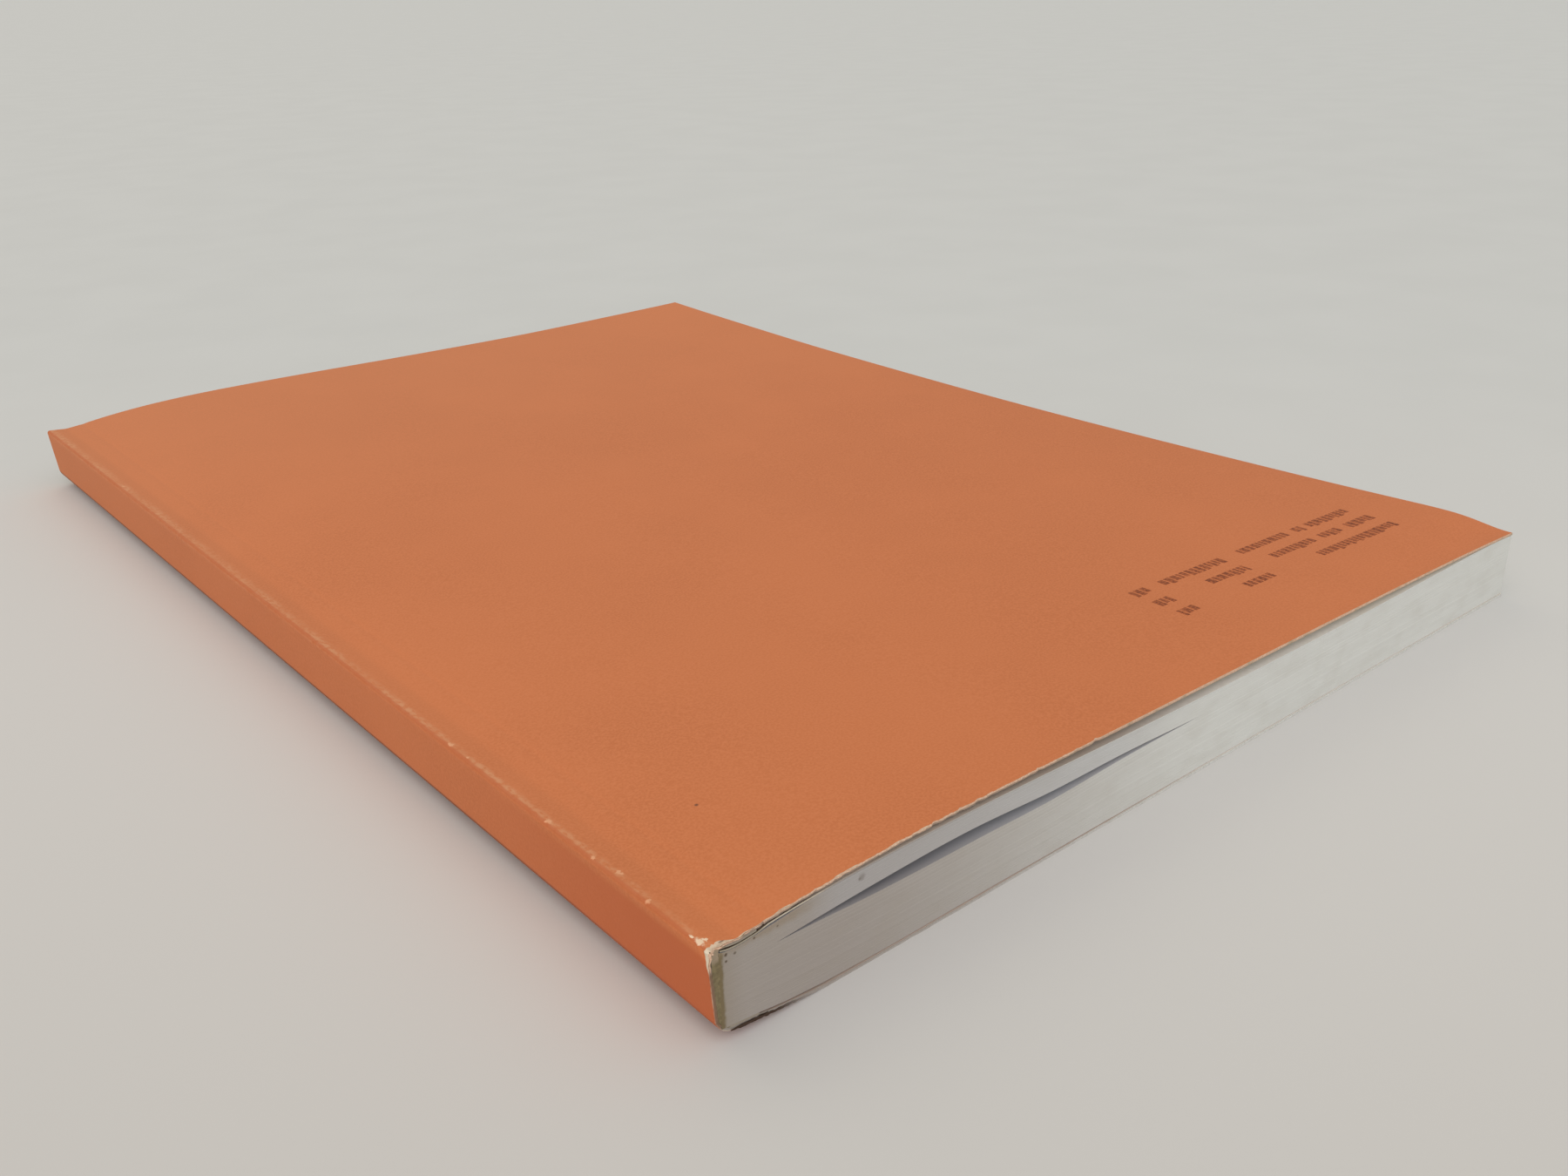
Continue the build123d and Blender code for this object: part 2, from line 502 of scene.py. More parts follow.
# %% The worn line along the spine
def worn_line(tree):
    """A lighter band about the upper corner, broken by patches and by a fine grain."""
    width = along_book(tree, 40, 130, 1.0, 1.8)
    off_line = sum_up("DIVIDE", off_by(mark_of(tree, "from_corner"), 0.5), width)
    patches = step(cloud(tree, 7, 3, (1, 1.6, 1)), 0.35, 0.65, 0.25, 1.0)
    broken = step(cloud(tree, 0.5, 3, (1, 2, 1)), 0.38, 0.6, 0.12, 1.0)
    return times(step(off_line, 0.85, 0.15), times(patches, broken))


# %% Specks on the spine's corner
def specks(tree, knocks):
    """Bare fibres on the corner, one for each knock: the distance from the knock, made uneven by noise. A
    knock is its distance from the head, its distance from the corner, and its reach."""
    y = axis_of(tree, 1)
    uneven = times(sum_up("SUBTRACT", cloud(tree, 0.4, 3), 0.5), 0.9)
    bare = 0.0
    for from_head, off_corner, reach in knocks:
        along = times(sum_up("SUBTRACT", y, head_y + from_head), 0.6)
        around = sum_up("SUBTRACT", mark_of(tree, "from_corner"), off_corner)
        spot = put(tree, "ShaderNodeCombineXYZ", {0: along, 1: around}).outputs[0]
        away = sum_up("ADD", vector_sum("LENGTH", spot, result="Value"), uneven)
        edge = step(away, reach, 0.4 * reach)
        bare = sum_up("MAXIMUM", edge, bare)
    return bare


rubbed = [(165.6, 0.75, 0.3), (47.7, 0.5, 0.34), (44.0, 0.5, 0.2), (27.1, 0.45, 0.38), (18.7, 0.3, 0.28)]
rubbed += [(15.0, 0.9, 0.3), (9.3, 0.3, 0.3)]
torn_off = [(2.7, 0.25, 0.24), (1.7, 0.3, 0.5), (1.6, 0.9, 0.2)]
print(len(rubbed) + len(torn_off), "specks on the spine's corner")


# %% Chips along the head edge
def head_chips(tree):
    """Ink gone from the head edge: 0.3 to 0.7 mm deep round the spine's upper corner, then in teeth of up
    to 0.17 mm that shrink on to the middle, and a thin line all along."""
    thin_line = 0.03
    corner = mark_of(tree, "from_corner")
    frayed = times(across_book(tree, 50, 12, 0.1, 1.0), step(corner, -2.6, -1.2, 0.2, 1.0))
    teeth = times(step(cloud(tree, 1.1, 2, (2.2, 1, 2.2)), 0.47, 0.68, 0.0, 0.17), frayed)
    patch = step(cloud(tree, 0.8, 2), 0.2, 0.6, 0.32, 0.7)
    patch = times(patch, step(corner, -1.2, 0.6, 0.6, 1.0))
    torn = times(step(off_by(corner, 0.3), 2.9, 1.0), patch)
    depth = sum_up("ADD", sum_up("ADD", teeth, torn), thin_line)
    from_head = sum_up("SUBTRACT", axis_of(tree, 1), head_y)
    return step(sum_up("SUBTRACT", from_head, depth), 0.04, 0.0)


# %% Orange ink
orange_card, tree = new_finish("orange_card", 0.68, 0.35)
tooth = cloud(tree, 0.3, 4)
ink = mix(step(cloud(tree, 24, 4), 0.3, 0.7), tone(202, 117, 67), tone(195, 112, 63))
# Painted sheen: from 90 mm on, the ink grows paler and pinker towards the tail, as card looks in grazing
# light.
ink = mix(along_book(tree, 90, book_length, 0.0, 0.35), ink, tone(204, 130, 82))
ink = mix(step(tooth, 0.3, 0.7, 0.0, 0.8), ink, tone(208, 124, 75))

# %% Wear and shade round the spine
corner = mark_of(tree, "from_corner")
ink = mix(times(worn_line(tree), 0.7), ink, tone(214, 152, 108))
# Painted shade: a slightly darker line on the corner's arc, which damps the light it catches.
ink = mix(step(off_by(corner, 0.08), 0.4, 0.1, 0.0, 0.75), ink, tone(183, 100, 57))
# Painted shade: the spine card is dark where its lower corner turns under towards the table, most near the
# head.
underside_shade = times(above_table(tree, 3.0, 2.7), across_book(tree, hinge_strip, 3))
underside_shade = times(underside_shade, along_book(tree, 40, 10, 0.6, 0.85))
ink = mix(underside_shade, ink, tone(104, 48, 28))
ink = mix(specks(tree, rubbed), ink, tone(224, 160, 116))
ink = mix(specks(tree, torn_off), ink, tone(234, 206, 172))
# Painted shade: the back of the spine is darker over the 50 mm next to the head.
head_end_shade = times(along_book(tree, 50, 0, 0.0, 0.9), step(corner, -0.5, -1.5))
ink = mix(head_end_shade, ink, tone(193, 101, 56))

# %% Chips, a dark speck and a small tear at the head
bared = mix(step(cloud(tree, 0.5, 2), 0.4, 0.65), tone(212, 190, 162), tone(190, 166, 140))
bared = mix(step(corner, 0.9, -0.2, 0.0, 0.85), bared, tone(220, 209, 182))
ink = mix(head_chips(tree), ink, bared)
height_left_out = 1000
off_speck = away_from(tree, (spine_x + 13.0, head_y + 18.9, 0), (1, 1, height_left_out))
ink = mix(step(off_speck, 0.3, 0.1, 0.0, 0.8), ink, tone(96, 60, 44))
off_tear = away_from(tree, (spine_x + 2.0, head_y + 0.45, 0), (3.5, 1, height_left_out))
ink = mix(step(off_tear, 0.13, 0.05, 0.0, 0.7), ink, tone(110, 72, 52))
dress(orange_card, ink, tooth, 0.02)

# %% [markdown]
# ### Card that was cut, and the inside of the cover
# Cut card is fibrous and pale, and has gone brown in patches where dust reached it. Near the spine the
# inner part of each cut is painted grey as shade, and the rim by the table dark as contact shade. One plain
# tone would make the torn corner look new. The share through the card, kept at each point, tells its skin
# from its core.

# %% Cut edges of the card
card_core, tree = new_finish("card_core", 0.9, 0.2)
fibres = cloud(tree, 0.25, 4)
inwards = mark_of(tree, "depth_in_card")
core = mix(step(fibres, 0.35, 0.65), tone(192, 158, 131), tone(214, 184, 156))
core = mix(step(cloud(tree, 1.5, 3), 0.5, 0.72), core, tone(172, 154, 128))
# Painted shade: the inner part of each cut edge is grey, most near the spine.
cut_shade = times(step(inwards, 0.2, 0.5, 0.0, 0.9), across_book(tree, 75, 25))
core = mix(cut_shade, core, tone(148, 132, 118))
on_back = mix(step(inwards, 0.15, 0.55), tone(165, 119, 95), tone(122, 101, 80))
core = mix(above_table(tree, 8.8, 8.0), core, on_back)
under = mix(step(inwards, 0.1, 0.3), tone(176, 162, 142), tone(150, 142, 131))
# Painted contact shade: the rim of the spine card's cut edge next to the table is dark, from 2 mm off the
# spine.
spine_contact_shade = times(step(inwards, 0.6, 0.3), across_book(tree, 2, 4))
under = mix(spine_contact_shade, under, tone(70, 54, 42))
core = mix(above_table(tree, 2.3, 1.6), core, under)
dress(card_core, core, fibres, 0.05)


# %% The inside of the cover
def head_edge_dark(tree):
    """Dark brown at the head only, within 2 mm of it, and none from 15 mm off the spine."""
    return times(across_book(tree, 15, 9), along_book(tree, 2, 0))


def gap_shade_at_head(tree, reach, full=0.0):
    """Painted shade in the gaps at the head, in as far as `reach`, over the half next to the spine."""
    return times(along_book(tree, reach, full), across_book(tree, 80, 50, 0.0, 0.85))


inner_card, tree = new_finish("inner_card", 0.85, 0.25)
fibres = cloud(tree, 0.5, 4)
inside = mix(step(cloud(tree, 30, 3), 0.3, 0.7), tone(226, 222, 210), tone(218, 212, 198))
inside = mix(step(fibres, 0.4, 0.8), inside, tone(206, 200, 186))
inside = mix(head_edge_dark(tree), inside, tone(92, 76, 60))
# Painted shade in the gap under the cover, along the head.
inside = mix(gap_shade_at_head(tree, 4), inside, tone(172, 151, 134))
dress(inner_card, inside, fibres, 0.015)

# %% [markdown]
# ### Paper
# A leaf's face is plain uncoated book paper; where it faces a gap or the slit at the head, it is painted
# in shade. The cut edges of many leaves together look different: each has its own slight tone, dust settles
# in streaks, and near the glue the paper is browned. Towards the spine the edges are painted grey as shade.
# The number of the leaf, kept at each point, gives every edge its tone without a mesh for each leaf.

# %% Faces of the leaves
leaf_paper, tree = new_finish("leaf_paper", 0.85, 0.25)
fibres = cloud(tree, 0.6, 5)
paper = mix(step(fibres, 0.35, 0.7), tone(226, 223, 214), tone(218, 214, 203))
paper = mix(step(cloud(tree, 40, 2), 0.4, 0.7), paper, tone(218, 212, 198))
# Painted shade in the gaps at the head.
paper = mix(gap_shade_at_head(tree, 3, 0.1), paper, tone(172, 156, 138))
paper = mix(head_edge_dark(tree), paper, tone(92, 76, 60))
# Painted shade in the slit and gaps: marked faces take a grey tone, darker nearer the spine.
slit_shade_tone = mix(across_book(tree, 20, 48), tone(148, 147, 148), tone(174, 176, 178))
deep = times(along_book(tree, 0, 1, 0.8, 1.0), mark_of(tree, "parted"))
paper = mix(deep, paper, slit_shade_tone)
dress(leaf_paper, paper, fibres, 0.01)


# %% Cut edges of the leaves
def edge_shade(tree):
    """Painted shade on the cut edges: grey near the spine, and gone past the middle."""
    return mix(across_book(tree, 10, 80), tone(157, 150, 141), tone(205, 207, 199))


leaf_edges, tree = new_finish("leaf_edges", 0.88, 0.2)
slow = put(tree, "ShaderNodeSeparateXYZ", {0: place(tree, (35, 35, 35))}).outputs
row = {0: slow[0], 1: slow[1], 2: mark_of(tree, "leaf_number")}
each = cloud(tree, 1.0, 2, vector=put(tree, "ShaderNodeCombineXYZ", row).outputs[0])
edges = mix(step(each, 0.3, 0.7, 0.0, 0.05), edge_shade(tree), tone(140, 132, 116))
streaks = cloud(tree, 5.0, 3, (1, 1, 0.6))
edges = mix(step(streaks, 0.4, 0.75, 0.0, 0.12), edges, tone(150, 140, 120))

# %% Glue, stains, and painted cool light over the slit
soaked = sum_up("ADD", axis_of(tree, 0), times(cloud(tree, 0.8, 2), 0.5))
edges = mix(step(soaked, spine_x + 2.15, spine_x + 1.8), edges, tone(112, 99, 70))
edges = mix(step(soaked, spine_x + 5.0, spine_x + 1.5, 0.0, 0.3), edges, tone(131, 118, 92))
tide = step(sum_up("ADD", axis_of(tree, 2), cloud(tree, 1.2, 3)), 9.7, 10.5, 0.0, 0.55)
edges = mix(times(tide, across_book(tree, 15, 9)), edges, tone(143, 127, 104))
# Painted light: the leaf edges above the slit, from 16 to 72 mm off the spine, are paler and cooler.
slit_edge_light = times(above_table(tree, 8.0, 8.2, 0.0, 0.35), across_book(tree, 72, 52))
slit_edge_light = times(slit_edge_light, across_book(tree, 10, 16))
edges = mix(slit_edge_light, edges, tone(174, 176, 177))
# Each stain's distance from the spine, height, reach and strength.
stains = [(2.1, 9.6, 0.27, 0.9), (2.1, 8.9, 0.22, 0.9), (3.1, 9.3, 0.24, 0.7), (5.3, 9.8, 0.2, 0.8)]
stains += [(8.0, 9.75, 0.2, 0.5), (18.3, 10.2, 0.6, 0.35), (18.0, 10.1, 0.25, 0.4)]
uneven = cloud(tree, 0.35, 2)
for from_spine, high, reach, strength in stains:
    away = away_from(tree, (spine_x + from_spine, head_y, high))
    away = sum_up("ADD", away, times(uneven, 0.4 * reach))
    edges = mix(step(away, 1.2 * reach, 0.4 * reach, 0.0, strength), edges, tone(76, 60, 40))
dress(leaf_edges, edges, sum_up("ADD", streaks, each), 0.003)

# %% Cut edge of the lower cover
lower_edge, tree = new_finish("lower_edge", 0.9, 0.2)
fibres = cloud(tree, 0.25, 4)
core = mix(step(fibres, 0.35, 0.7, 0.0, 0.3), edge_shade(tree), tone(142, 132, 116))
# Painted contact shade: the lower rim of the cut edge is dark near the spine, where the strip lifts off the
# table.
lower_contact_shade = times(step(mark_of(tree, "depth_in_card"), 0.6, 0.3), across_book(tree, 13, 7))
core = mix(lower_contact_shade, core, tone(66, 51, 40))
dress(lower_edge, core, fibres, 0.03)

# %% Edges of the two top leaves
top_leaf_edge, tree = new_finish("top_leaf_edge", 0.85, 0.2)
fibres = cloud(tree, 0.4, 3)
pale = mix(step(fibres, 0.35, 0.7), tone(198, 190, 170), tone(184, 174, 152))
pale = mix(across_book(tree, 7.0, 5.5, 0.0, 0.8), pale, tone(148, 140, 120))
# Past 16 mm the top leaves' edges take the painted edge shade too, which dims the light they catch.
pale = mix(across_book(tree, 11, 16), pale, edge_shade(tree))
dress(top_leaf_edge, pale, fibres, 0.01)

# %% [markdown]
# ### Glue and ink
# Old hot-melt glue is olive, a little glossy and lumpy, with a dark crack beside the card. The print is
# brown ink, and has the grain of the card's tooth, because thin ink sinks into it.

# %% Glue and printing ink
binding_glue, tree = new_finish("binding_glue", 0.5, 0.4)
lumps = cloud(tree, 0.5, 3)
glue = mix(step(lumps, 0.35, 0.65), tone(106, 94, 64), tone(125, 112, 78))
glue = mix(above_table(tree, 9.0, 9.7), glue, tone(149, 133, 109))
glue = mix(across_book(tree, 1.8, 2.4), glue, tone(146, 137, 120))
crack = sum_up("ADD", axis_of(tree, 0), times(cloud(tree, 0.6, 2), 0.3))
glue = mix(step(crack, spine_x + 0.72, spine_x + 0.6, 0.0, 0.8), glue, tone(76, 65, 47))
dress(binding_glue, glue, lumps, 0.05)

printed_ink, tree = new_finish("printed_ink", 0.6, 0.3)
grain = cloud(tree, 0.3, 4)
dark = mix(step(grain, 0.35, 0.7), tone(120, 55, 20), tone(182, 97, 47))
dress(printed_ink, dark, grain, 0.02)

# %% [markdown]
# ## The covers
# Both covers are panels of the same folded card. Each is a sheet between two grids, with short steps at
# the head, where the edge is frayed, and beside the crease, where the card bends when the cover opens.
# There the points lie close together, as a real crease spreads a fold.

# %% Rows and columns of the panels
def growing(start, end, count, power):
    """Values from start to end whose steps grow: the share to a power."""
    return start + (end - start) * np.linspace(0, 1, count + 1) ** power


fold_width = 1.6
frayed_width = 56.0
rows_y = growing(head_y, tail_y, 72, 2.2)
fold = np.linspace(0, fold_width, 14, endpoint=False)
frayed = np.linspace(fold_width, frayed_width, 160, endpoint=False)
plain = np.linspace(frayed_width, panel_width, 92)
columns_x = crease_x + np.concatenate([fold, frayed, plain])
grid_x, grid_y = np.meshgrid(columns_x, rows_y)
print("the upper cover has", len(rows_y), "rows and", len(columns_x), "columns of points")


# %% The ragged head edge
bite_reach = 0.4
tooth_depth = 0.09
ragged_depth = 0.015
nick_depth = 0.22
nick_from_spine = 52.6


def bitten(x, y):
    """Moves the rows next to the head edge inwards: teeth of up to 0.18 mm in the third next to the spine,
    a nick 52.6 mm from it, and a few hundredths of a millimetre all along."""
    from_spine = x - spine_x
    worn = np.clip((58 - from_spine) / 12, 0, 1)
    teeth = np.clip(ripples(x, 0, 1.6, seed=8), 0, 2) * tooth_depth * worn
    fine = ragged_depth * (1 + ripples(x, 0, 0.9, seed=9))
    nick = nick_depth * bell(from_spine - nick_from_spine, 0.5)
    return (teeth + fine + nick) * near_head(y, bite_reach)


# %% A sheet of cover card
def card_sheet(name, outer, inner, stand_out, edge, from_corner, body=None):
    """A sheet of card with its three finishes, and with the marks that they read."""
    points, quads, sides = sheet(outer, inner, stand_out)
    marks = {"from_corner": carried(from_corner, outer), "depth_in_card": depth_in_card(outer)}
    return make_piece(name, points, quads.tolist(), [orange_card, inner_card, edge], body, sides, marks)


# %% Upper cover
cover_wall = 0.035
far_from_corner = 20.0
top_face = np.stack([grid_x, grid_y + bitten(grid_x, grid_y), outer_face(grid_x, grid_y)], -1)
under_face = top_face - [0, 0, card]
upper_cover = card_sheet("upper_cover", top_face, under_face, cover_wall, card_core, far_from_corner)
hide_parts("back_cover")
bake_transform(upper_cover)

# %% Section of the lower cover
landing_radius = 30.0
landing_x = spine_x + lift_reach
low_corners = [(crease_x, crease_low), (landing_x, 0), (fore_x, 0)]
low_path, _, _ = rounded_path(low_corners, [landing_radius], [0.4, 1.2])
# Fourteen close points beside the crease take the place of the first four.
near_crease = low_path[0] + (low_path[3] - low_path[0]) * np.linspace(0, 1, 14)[:, None] ** 1.5
low_path = np.concatenate([near_crease, low_path[4:]])


def low_face(x):
    """Outer face of the lower cover, and of its hinge strip from the spine to the crease."""
    strip = spine_lift - strip_slope * (x - spine_x)
    return np.where(x < crease_x, strip, np.interp(x, low_path[:, 0], low_path[:, 1]))


# %% Lower cover
under = carried_along(low_path, rows_y)
low_bite = 0.03 * ripples(under[..., 0], 0, 1.1, seed=12) - 0.08
under[..., 1] += low_bite * near_head(under[..., 1], bite_reach)
under[..., 2] += pressed(low_path[:, 0])
over = under + [0, 0, card]
lower_cover = card_sheet("lower_cover", under, over, cover_wall, lower_edge, far_from_corner)
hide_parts("front_cover")
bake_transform(lower_cover)


# %% [markdown]
# ## The spine
# The card goes round the back of the book and lies on each face as a glued strip, up to the crease. Its
# section is a path with rounded corners, carried from head to tail. At the head the upper corner is crushed
# and frayed, so its rows are closest together there.

# %% Section of the spine card
dip_radius = 5.0
top_corner_radius = 0.45
low_corner_radius = 2.2
spine_lean = 0.7


def spine_section(inset_spine, inset_side, reach, tucked):
    """Corners of the spine end, moved in from the card's outer face, out to `reach` from the spine. The
    lower corner is `tucked` in, because the back of the book leans."""
    rise = crease_above_dip * (reach - dip_from_spine) / (hinge_strip - dip_from_spine)
    back = spine_x + inset_spine
    return [
        (spine_x + reach, dip_top + rise - inset_side),
        (spine_x + dip_from_spine, dip_top - inset_side),
        (back, spine_top - inset_side),
        (back + tucked, spine_lift - strip_slope * (inset_spine + tucked) + inset_side),
        (spine_x + reach, spine_lift - strip_slope * reach + inset_side),
    ]


spine_corners = spine_section(0, 0, hinge_strip, spine_lean)
spine_radii = [dip_radius, top_corner_radius, low_corner_radius]
path, normals, distance = rounded_path(spine_corners, spine_radii, [0.12, 0.25, 0.2, 0.2])
corner_at = distance[np.argmax(path[:, 1] - path[:, 0])]
from_corner = corner_at - distance
print("spine section:", len(path), "points,", round(distance[-1], 1), "mm long")

# %% How far the spine card is crushed, dented and frayed
crush_depth = 0.32
crush_reach = 1.2
dent_depth = 0.05
rows_spine = growing(head_y, tail_y, 110, 2.4)
along, around = np.meshgrid(rows_spine, from_corner, indexing="ij")
uneven_crush = crush_depth + 0.06 * ripples(along, around, 0.7, seed=22)
crushed = bell(around, crush_reach) * near_head(along, 1.5) * uneven_crush
dents = dent_depth * bell(around, 0.9) * np.clip(ripples(along, 0, 5, seed=21), 0, 2)
pushed_in = (crushed + dents + pressed(path[:, 0]))[..., None]
frayed_by = 0.05 * (1 + ripples(around, along, 0.8, seed=23)) * near_head(along, 0.3)
print("deepest dent, mm:", round(pushed_in.max(), 2))

# %% Spine card
spine_wall = 0.04
outwards = np.insert(normals, 1, 0, axis=1)
unworn = carried_along(path, rows_spine)
unworn[..., 1] += frayed_by
outside = unworn - outwards * pushed_in
inside = unworn - outwards * (card + pushed_in * 0.6)
spine_card = card_sheet("spine_card", outside, inside, spine_wall, card_core, from_corner, "book_block")
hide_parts("spine")


# %% [markdown]
# ### Frayed edge
# Where the head edge was rubbed, the card has split into a woolly fringe. Single hairs would be lost at
# this size, so it is a lumpy cord laid along the cut edge: an ellipse carried along it, whose size noise
# changes. Three such cords edge the upper cover, the end of the spine and the lower hinge strip. The one on
# the hinge strip is painted dark near the spine, as contact shade.

# %% A woolly cord along an edge
def woolly_cord(centre, up, half_height, half_depth, lump, seed, ring_points=12):
    """An ellipse in the plane of `up` and the head's outward -Y, carried along `centre`. Its radii are
    multiplied by 1 + noise, and both ends are closed by a face."""
    turn = np.linspace(0, 2 * np.pi, ring_points, endpoint=False)
    grown = 1 + lump * ripples(length_along(centre)[:, None], 0.35 * turn, 0.7, seed)
    rise = (half_height[:, None] * np.sin(turn) * grown)[..., None] * up[:, None]
    out = (half_depth[:, None] * np.cos(turn) * grown)[..., None] * np.array([0, -1.0, 0])
    points = (centre[:, None] + rise + out).reshape(-1, 3)
    ring = np.arange(len(points)).reshape(-1, ring_points)
    after = np.roll(ring, -1, 1)
    quads = np.stack([ring[:-1], ring[1:], after[1:], after[:-1]], -1).reshape(-1, 4)
    faces = quads.tolist() + [ring[0].tolist(), ring[-1, ::-1].tolist()]
    return points, faces


# %% Fringe of the upper cover
edge_x = np.linspace(crease_x + 1.8, fore_x - 0.3, 900)
edge_y = head_y + bitten(edge_x, head_y)
worn = np.clip((spine_x + 56 - edge_x) / 10, 0, 1)
height = 0.04 + 0.05 * worn * (0.7 + 0.35 * ripples(edge_x, 0, 1.4, seed=31))
edge = np.stack([edge_x, edge_y, outer_face(edge_x, edge_y) - 0.9 * height], -1)
upwards = np.array([[0, 0, 1.0]])
points, faces = woolly_cord(edge, upwards, height, 0.05 + 0.05 * worn, 0.25, seed=32)
cover_fringe = make_piece("cover_fringe", points, faces, [card_core], "back_cover")

# %% Fringe round the spine's end
section = (distance > 0.3) & (from_corner > -2.4)
centre = (outside[0] - outwards * card * 0.45)[section]
knocked = 0.2 + 0.8 * bell(from_corner[section], 1.4)
points, faces = woolly_cord(centre, outwards[section], 0.18 * knocked, 0.14 * knocked, 0.35, seed=33)
spine_fringe = make_piece("spine_fringe", points, faces, [card_core], "book_block")

# %% Fringe under the lower cover, painted dark near the spine as contact shade
edge_x = np.linspace(spine_x + 2.2, spine_x + 14, 160)
worn = np.clip((spine_x + 14 - edge_x) / 6, 0, 1) * np.clip((edge_x - spine_x - 2) / 1.5, 0, 1)
thick = 0.03 + 0.12 * worn
edge = np.stack([edge_x, 0 * edge_x + head_y - 0.02, low_face(edge_x) + 0.04], -1)
points, faces = woolly_cord(edge, upwards, thick, 0.8 * thick, 0.2, seed=34)
shaded_low_fringe = make_piece("shaded_low_fringe", points, faces, [lower_edge])
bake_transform(shaded_low_fringe)

# %% [markdown]
# ## Glue
# Hot-melt glue fills the space between the leaves and the spine card, and runs a little way up each side.
# It lies between two rounded paths: the inside of the card, and the edge of the block.

# %% Two paths round the glue
glue_corner = 0.15
block_corner = 0.1
glue_points = 90
glue_pitch = [0.5, 0.3, 0.3, 0.5]
inner_inset = card + spine_glue
outer_radii = [dip_radius, glue_corner, low_corner_radius - card]
inner_radii = [dip_radius, block_corner, low_corner_radius - inner_inset]
outer_corners = spine_section(card, card, glue_band, spine_lean)
inner_corners = spine_section(inner_inset, card + side_glue, glue_band, 0.0)
outer_path, _, _ = rounded_path(outer_corners, outer_radii, glue_pitch)
inner_path, _, _ = rounded_path(inner_corners, inner_radii, glue_pitch)


def resampled(line, count):
    """Points at even shares of a line's length."""
    length = length_along(line)
    share = np.linspace(0, 1, count)
    return np.stack([np.interp(share, length / length[-1], line[:, axis]) for axis in (0, 1)], -1)


# %% The glue channel
rows_glue = growing(head_y + 0.03, tail_y - 0.03, 50, 1.8)
glue_outside = carried_along(resampled(outer_path, glue_points), rows_glue)
glue_inside = carried_along(resampled(inner_path, glue_points), rows_glue)
glue_inside[..., 0] += 0.05 * ripples(glue_inside[..., 0] * 2, glue_inside[..., 2], 1.2, seed=41)
points, quads, sides = sheet(glue_outside, glue_inside, stand_out=0.02)
glue_piece = make_piece("hot_melt_glue", points, quads.tolist(), [binding_glue], "book_block")
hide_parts("spine_glue")

# %% [markdown]
# ## Leaves
# The leaves have parted into two bunches at the head, with a dark slit between them, and the two top leaves
# stand a little apart near the spine. Each bunch is the skin of a box. Its lowest and highest faces follow
# the slit and the cover. Its edges are ridged, one ridge a leaf, because no guillotine leaves 86 edges
# quite level.

# %% The slit between the bunches
slit_start = 7.6
slit_end = 71.5
slit_reach = 70.0
tip_x = 40.0
tip_z = crease_top - 3.05


def slit_face(x, y, places, depths):
    """Height of one face of the slit: the line at the head, shrunk towards the tip by the share inwards."""
    inwards = np.clip((y - head_y) / slit_reach, 0, 0.999)
    at_head = (x - spine_x - tip_x * inwards) / (1 - inwards)
    line = crease_top - smooth_line(np.clip(at_head, slit_start, slit_end), places, depths)
    return line * (1 - inwards) + tip_z * inwards


def slit_roof(x, y):
    """Lowest face of the upper bunch."""
    places = [slit_start, 9, 11, 20, 32, 46, 58, slit_end]
    return slit_face(x, y, places, [3.02, 2.95, 2.84, 2.37, 2.13, 2.75, 2.9, 3.4])


def slit_floor(x, y):
    """Highest face of the lower bunch."""
    places = [slit_start, 9, 11, 20, 34, 46, 58, slit_end]
    return slit_face(x, y, places, [3.02, 3.04, 3.08, 3.5, 3.67, 3.85, 3.45, 3.4])


# %% The lowest leaf
above_cover = 0.05
glue_rise = 0.15
wedge_rise = 0.14
wedge_from_spine = 14


def block_bottom(x, y):
    """Lowest leaf: on the glue as far as the crease, then just above the lower cover, with a thin wedge of
    air at the head, exp(-(d / 5)^2) about 14 mm from the spine."""
    from_spine = x - spine_x
    glued = glue_rise * np.clip((8.5 - from_spine) / 2.9, 0, 1)
    wedge = wedge_rise * bell(from_spine - wedge_from_spine, 5) * near_head(y, 40)
    return low_face(x) + card + above_cover + glued + wedge


# %% The two top leaves
two_leaves = 0.17
hair_below = 0.12
air_under = 0.15
air_reach = 15


def top_leaves_at(x, y):
    """Top of the two leaves under the cover: a hair below the glue band, and nearer to the cover past the
    crease."""
    from_spine = x - spine_x
    hair = hair_below * np.clip((from_spine - 1.6) / 0.6, 0, 1) * np.clip((6.5 - from_spine) / 0.8, 0, 1)
    nearer = 0.03 * bell(from_spine - 8.5, 2.2) * near_head(y, air_reach)
    return block_top(x, y) - hair + nearer


def under_top_leaves(x, y):
    """Highest leaf of the upper bunch: below the top leaves, with a line of air from the glue to 12 mm."""
    from_spine = x - spine_x
    air = air_under * np.clip((12 - from_spine) / 4, 0, 1) * np.clip((from_spine - 1.3) / 0.6, 0, 1)
    return block_top(x, y) - two_leaves - 0.01 - air * near_head(y, air_reach)


# %% A bunch of leaves
bunch_start = spine_x + 1.3


